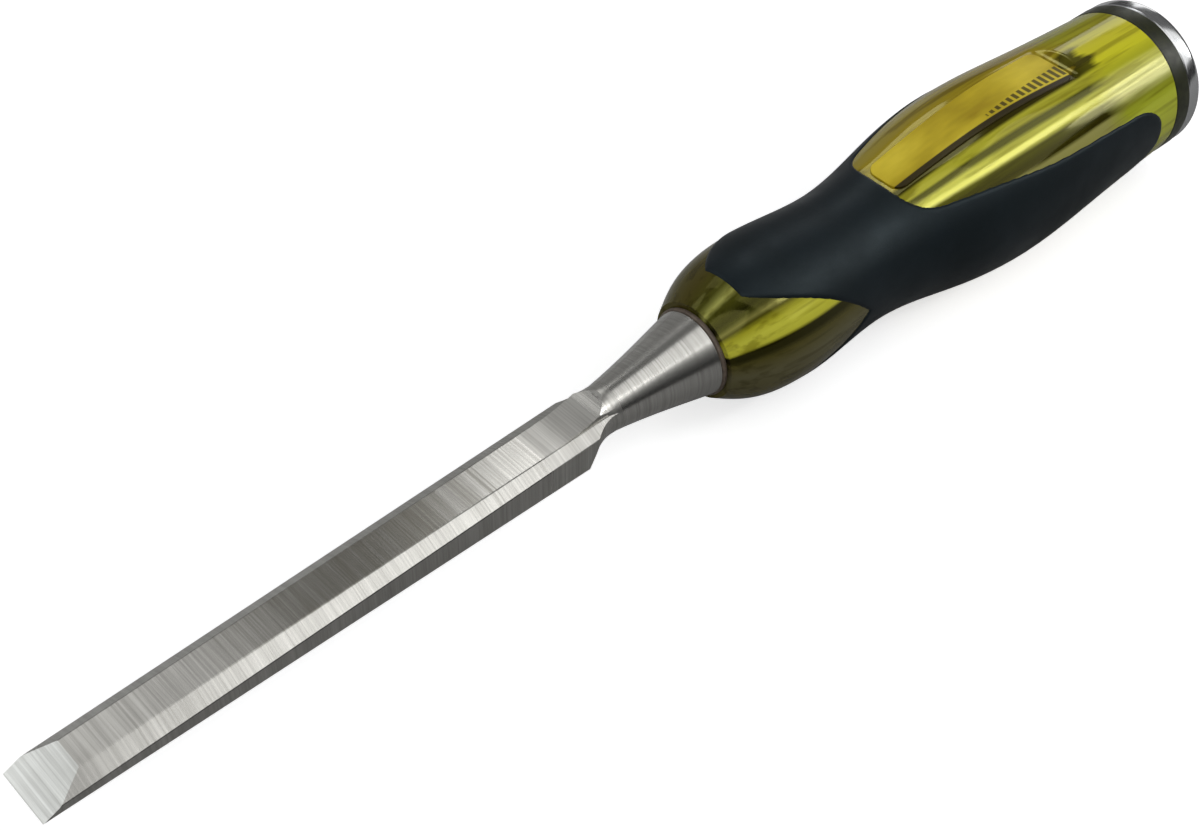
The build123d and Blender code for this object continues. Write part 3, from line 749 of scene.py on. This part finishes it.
def grip_shell():
    """Overmould with rounded edges, closed by an inner face under the acetate's skin."""
    front, rear = boundary_curves()
    stations = np.arange(GRIP_FRONT - 0.6, GRIP_REAR + 0.7, 0.5)
    n = 256
    angles = np.arange(n) * 2 * math.pi / n
    sx, th = np.meshgrid(stations, angles, indexing="ij")
    radius = core_radius(sx)
    quarter = np.abs(((th + math.pi) % (2 * math.pi)) - math.pi)
    quarter = np.where(quarter > math.pi / 2, math.pi - quarter, quarter)
    arc_len = quarter * radius
    front_arc = np.interp(sx, front[:, 0], front[:, 1])
    rear_arc = np.interp(sx, rear[:, 0], rear[:, 1])
    inside = (sx > GRIP_FRONT) & (sx < GRIP_REAR)
    inside &= ~((sx < NOTCH_TIP) & (arc_len > front_arc))
    inside &= ~((sx > WINDOW_FRONT) & (arc_len < rear_arc))
    gap = np.minimum(distance_to(front, sx, arc_len), distance_to(rear, sx, arc_len))
    field = np.where(inside, gap, -gap)

    points, lookup, polygons = [], {}, []

    def vertex(key, s, t, d):
        if key not in lookup:
            lookup[key] = len(points)
            points.append((s, t, d))
        return lookup[key]

    rows = len(stations)
    for i in range(rows - 1):
        for k in range(n):
            k2 = (k + 1) % n
            cell = [(i, k), (i + 1, k), (i + 1, k2), (i, k2)]
            values = [field[c] for c in cell]
            if max(values) <= 0:
                continue
            ring = []
            for a in range(4):
                c0, c1 = cell[a], cell[(a + 1) % 4]
                v0, v1 = values[a], values[(a + 1) % 4]
                t0, t1 = angles[c0[1]], angles[c1[1]]
                if t1 - t0 > math.pi:
                    t0 += 2 * math.pi
                elif t0 - t1 > math.pi:
                    t1 += 2 * math.pi
                if v0 > 0:
                    ring.append(vertex(c0, stations[c0[0]], angles[c0[1]], v0))
                if (v0 > 0) != (v1 > 0):
                    f = v0 / (v0 - v1)
                    key = ("e",) + tuple(sorted((c0, c1)))
                    s = stations[c0[0]] + f * (stations[c1[0]] - stations[c0[0]])
                    ring.append(vertex(key, s, t0 + f * (t1 - t0), 0.0))
            if len(ring) >= 3:
                polygons.append(ring)

    count = len(points)
    outer, inner = [], []
    for s, t, d in points:
        r = float(core_radius(s))
        u = min(1.0, d / GRIP_ROUND)
        rise = (GRIP_PROUD + GRIP_SINK) * math.sqrt(1 - (1 - u) ** 2) - GRIP_SINK
        outer.append(on_ring(s, r + rise, t))
        inner.append(on_ring(s, r - GRIP_DEPTH, t))
    edges = dict.fromkeys((a, b) for ring in polygons for a, b in zip(ring, ring[1:] + ring[:1]))
    faces = [tuple(ring) for ring in polygons]
    faces += [tuple(count + v for v in reversed(ring)) for ring in polygons]
    faces += [(b, a, count + a, count + b) for a, b in edges if (b, a) not in edges]
    return mesh_object("grip_shell", outer + inner, faces, RUBBER, 50)


grip = grip_shell()


# ---- amber inlays --------------------------------------------------------------------------------
def inlay(name, sign):
    """Thin plate on a flat; rows of points follow the curve of the flat."""
    ends = LABEL_CORNER * (1 - np.cos(np.linspace(0, math.pi / 2, 9)))
    middle = np.linspace(LABEL_FRONT + LABEL_CORNER, LABEL_REAR - LABEL_CORNER, 40)[1:-1]
    stations = [*(LABEL_FRONT + ends), *middle, *(LABEL_REAR - ends[::-1])]
    rows = []
    for s in stations:
        near = min(s - LABEL_FRONT, LABEL_REAR - s, LABEL_CORNER)
        inset = LABEL_CORNER - math.sqrt(max(0.0, LABEL_CORNER**2 - (LABEL_CORNER - near) ** 2))
        w = LABEL_HALF_FRONT + LABEL_SPREAD * (s - LABEL_FRONT) - inset * 0.999
        z = float(flat_height(s))
        across = (-w, -w + LABEL_SOFT, -w * 0.5, 0.0, w * 0.5, w - LABEL_SOFT, w)
        rows.append([(s, y, z) for y in across])
    m = len(across)
    top = []
    for row in rows:
        for j, (s, y, z) in enumerate(row):
            drop = 0.0 if 0 < j < m - 1 else LABEL_SOFT
            top.append((s, y, z + LABEL_HEIGHT - drop))
    low = [(s, y, z - 0.05) for row in rows for s, y, z in row]
    points = [placed(s, y, sign * z) for s, y, z in top + low]
    count = len(top)
    faces = []
    for i in range(len(rows) - 1):
        for j in range(m - 1):
            a, b, c, d = i * m + j, i * m + j + 1, (i + 1) * m + j + 1, (i + 1) * m + j
            faces.append((a, b, c, d))
            faces.append((count + d, count + c, count + b, count + a))
        for j in (0, m - 1):
            a, d = i * m + j, (i + 1) * m + j
            faces.append((a, d, count + d, count + a))
    for i in (0, len(rows) - 1):
        for j in range(m - 1):
            a, b = i * m + j, i * m + j + 1
            faces.append((a, b, count + b, count + a))
    return mesh_object(name, points, faces, AMBER, 40)


top_inlay = inlay("inlay_top", 1)
bottom_inlay = inlay("inlay_bottom", -1)

# ---- which CAD node each piece stands for --------------------------------------------------------
for piece, node, slot in (
    (blade, "blade", "blade_steel"),
    (tang, "blade", "blade_steel"),
    (tenon, "blade", "blade_steel"),
    (bolster_ring, "bolster_washer", "washer_tan"),
    (handle, "handle_core", "acetate_yellow"),
    (grip, "soft_grip", "grip_black"),
    (top_inlay, "top_label", "label_amber"),
    (bottom_inlay, "bottom_label", "label_amber"),
    (cap_ring, "cap_washer", "washer_black"),
    (cap, "strike_cap", "cap_steel"),
):
    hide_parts(node)
    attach(piece, "root")

# ---- floor, light and camera ---------------------------------------------------------------------
floor_mesh = bpy.data.meshes.new("floor")
size, clearance = 6.0, 0.0004
corners = [(-size, -size, 0), (size, -size, 0), (size, size, 0), (-size, size, 0)]
floor_mesh.from_pydata(corners, [], [(0, 1, 2, 3)])
floor = bpy.data.objects.new("floor", floor_mesh)
bpy.context.collection.objects.link(floor)
floor.location.z = -clearance
paper = Nodes("floor_paper")
seen = paper.add("ShaderNodeLightPath").outputs["Is Camera Ray"]
grain = paper.noise(paper.coords(), 40.0, 2.0, 0.5)
pale = paper.ramp(grain, [(0.3, (0.90, 0.90, 0.90)), (0.7, (0.93, 0.93, 0.93))])
# what the tool reflects of the floor is darker in front of it than behind it
behind = paper.range(paper.axes()["Y"], 0.01, 0.04, 0.0, 1.0)
dim = paper.ramp(behind, [(0.0, (0.30, 0.30, 0.30)), (1.0, (0.55, 0.55, 0.55))])
paper.color(paper.mix(seen, dim, pale))
paper.set(Roughness=0.9, Emission_Color=(1, 1, 1, 1))
paper.link(paper.range(seen, 0, 1, 0.0, 0.62), paper.shader.inputs["Emission Strength"])
floor_mesh.materials.append(paper.material)


def softbox(name, direction, distance, width, height, power, target=(0.02, 0, 0.018), tint=(1, 1, 1)):
    """Area light at a distance along a direction, turned to the target."""
    light = bpy.data.lights.new(name, "AREA")
    light.shape = "RECTANGLE"
    light.size, light.size_y, light.energy, light.color = width, height, power, tint
    obj = bpy.data.objects.new(name, light)
    bpy.context.collection.objects.link(obj)
    away = Vector(direction).normalized()
    obj.location = Vector(target) + away * distance
    obj.rotation_mode = "QUATERNION"
    obj.rotation_quaternion = away.to_track_quat("Z", "Y")


softbox("key", (0.58, -0.56, 0.60), 1.2, 1.1, 0.9, 2.8)
softbox("overhead", (0.12, -0.315, 0.941), 1.2, 0.60, 0.94, 1.6)
softbox("strip", (0.0, -0.655, 0.756), 1.17, 1.3, 0.14, 2.7, target=(1.0, 0, 0.018))
softbox("glint", (0.838, -0.445, 0.315), 1.2, 0.15, 0.18, 0.42)
softbox("fill", (-0.62, -0.42, 0.66), 1.2, 0.9, 1.0, 3.6)
softbox("back_left", (-0.53, 0.58, 0.63), 1.2, 0.6, 0.5, 1.0, tint=(0.93, 0.97, 1.0))
softbox("far_right", (0.443, 0.492, 0.749), 1.2, 0.30, 0.35, 0.85)
softbox("far_front", (-0.03, 0.596, 0.803), 1.2, 0.38, 0.35, 0.28)
softbox("cap_side", (0.86, 0.43, 0.27), 1.2, 0.34, 0.45, 0.65)

world = bpy.data.worlds.new("studio")
bpy.context.scene.world = world
world.use_nodes = True
# studio walls: dark low down on the near side, paler overhead and on the far side
sky = world.node_tree
direction = sky.nodes.new("ShaderNodeTexCoord")
part = sky.nodes.new("ShaderNodeSeparateXYZ")
sky.links.new(direction.outputs["Generated"], part.inputs["Vector"])
levels = []
for axis, lo, hi, dark, light in (
    ("Z", 0.15, 0.60, 0.015, 0.12), ("Y", 0.30, 0.90, 0.0, 0.26), ("X", 0.45, 0.65, 0.26, 0.06),
):
    level = sky.nodes.new("ShaderNodeMapRange")
    for key, number in zip(("From Min", "From Max", "To Min", "To Max"), (lo, hi, dark, light)):
        level.inputs[key].default_value = number
    sky.links.new(part.outputs[axis], level.inputs["Value"])
    levels.append(level.outputs["Result"])
far_wall = sky.nodes.new("ShaderNodeMath")
far_wall.operation = "MINIMUM"
brighter = sky.nodes.new("ShaderNodeMath")
brighter.operation = "MAXIMUM"
sky.links.new(levels[1], far_wall.inputs[0])
sky.links.new(levels[2], far_wall.inputs[1])
sky.links.new(levels[0], brighter.inputs[0])
sky.links.new(far_wall.outputs["Value"], brighter.inputs[1])
sky.nodes["Background"].inputs["Color"].default_value = (1, 1, 1, 1)
sky.links.new(brighter.outputs["Value"], sky.nodes["Background"].inputs["Strength"])

camera_data = bpy.data.cameras.new("camera")
camera = bpy.data.objects.new("camera", camera_data)
bpy.context.collection.objects.link(camera)
bpy.context.scene.camera = camera
AZIMUTH, ELEVATION, ROLL = math.radians(-42.245), math.radians(45.581), math.radians(0.572)
level_part = math.cos(ELEVATION)
back = Vector((math.sin(AZIMUTH) * level_part, -math.cos(AZIMUTH) * level_part, math.sin(ELEVATION)))
right = Vector((math.cos(AZIMUTH), math.sin(AZIMUTH), 0))
up = back.cross(right)
right, up = (
    right * math.cos(ROLL) + up * math.sin(ROLL),
    up * math.cos(ROLL) - right * math.sin(ROLL),
)
place = Vector((TIP - 43.80 * MM, -176.95 * MM, BACK_Z + 247.78 * MM))
camera.matrix_world = Matrix((
    (right.x, up.x, back.x, place.x),
    (right.y, up.y, back.y, place.y),
    (right.z, up.z, back.z, place.z),
    (0, 0, 0, 1),
))
camera_data.sensor_width = 36.0
camera_data.lens = 57.484
camera_data.clip_start, camera_data.clip_end = 0.01, 50
bpy.context.scene.view_settings.view_transform = "Standard"
